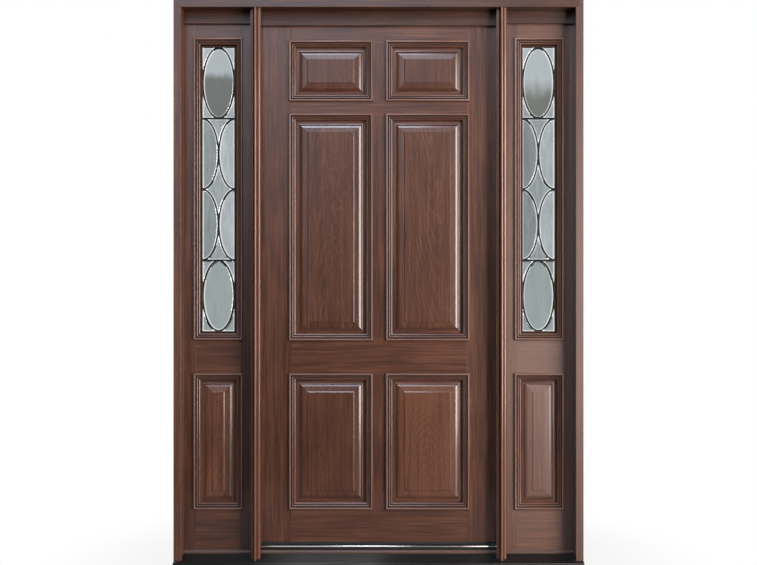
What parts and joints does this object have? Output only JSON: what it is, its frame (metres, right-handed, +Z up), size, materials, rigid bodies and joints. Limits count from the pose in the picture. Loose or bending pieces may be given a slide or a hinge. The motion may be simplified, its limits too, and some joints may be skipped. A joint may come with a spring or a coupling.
{
  "type": "panelled entry door with sidelights",
  "caption": "Solid wood panelled entry door hung in a frame between fixed leaded-glass sidelights, on a sloping metal sill; the leaf swings inwards on butt hinges.",
  "frame": {"origin": "middle of the sill's underside, half-way through the depth of the frame", "axes": "+X to the right as seen from outside, +Y inwards through the doorway, +Z up"},
  "size_m": [1.586, 0.1475, 2.198],
  "materials": {
    "mahogany": "satin",
    "sill_metal": "satin",
    "threshold_metal": "satin",
    "leaded_glass": "gloss",
    "sweep_rubber": "matte",
    "hinge_metal": "satin"
  },
  "bodies": {
    "frame": {"sill": "sill_metal", "left_jamb": "mahogany", "right_jamb": "mahogany", "head_jamb": "mahogany", "left_mullion": "mahogany", "right_mullion": "mahogany", "left_mullion_cover": "mahogany", "right_mullion_cover": "mahogany", "door_header": "mahogany", "left_sidelight_header": "mahogany", "right_sidelight_header": "mahogany", "sill_beads": "mahogany", "threshold_base": "sill_metal", "threshold_cap": "threshold_metal", "hinge_frame_leaves": "hinge_metal", "left_sidelight_stiles": "mahogany", "left_sidelight_rails": "mahogany", "left_sidelight_glass": "leaded_glass", "left_sidelight_glass_mouldings": "mahogany", "left_sidelight_panel": "mahogany", "left_sidelight_panel_mouldings": "mahogany", "right_sidelight_stiles": "mahogany", "right_sidelight_rails": "mahogany", "right_sidelight_glass": "leaded_glass", "right_sidelight_glass_mouldings": "mahogany", "right_sidelight_panel": "mahogany", "right_sidelight_panel_mouldings": "mahogany"},
    "door": {"hinge_stile": "mahogany", "lock_stile": "mahogany", "bottom_rail": "mahogany", "lock_rail": "mahogany", "frieze_rail": "mahogany", "top_rail": "mahogany", "muntins": "mahogany", "lower_panels": "mahogany", "tall_panels": "mahogany", "top_panels": "mahogany", "lower_panel_mouldings": "mahogany", "tall_panel_mouldings": "mahogany", "top_panel_mouldings": "mahogany", "door_sweep": "sweep_rubber", "hinge_door_leaves": "hinge_metal"}
  },
  "joints": [
    {"name": "door_swing", "type": "hinge", "parent": "frame", "child": "door", "pos_m": [-0.4673, 0.065, 1.1], "axis": [0, 0, 1], "range_deg": [0, 110]}
  ]
}
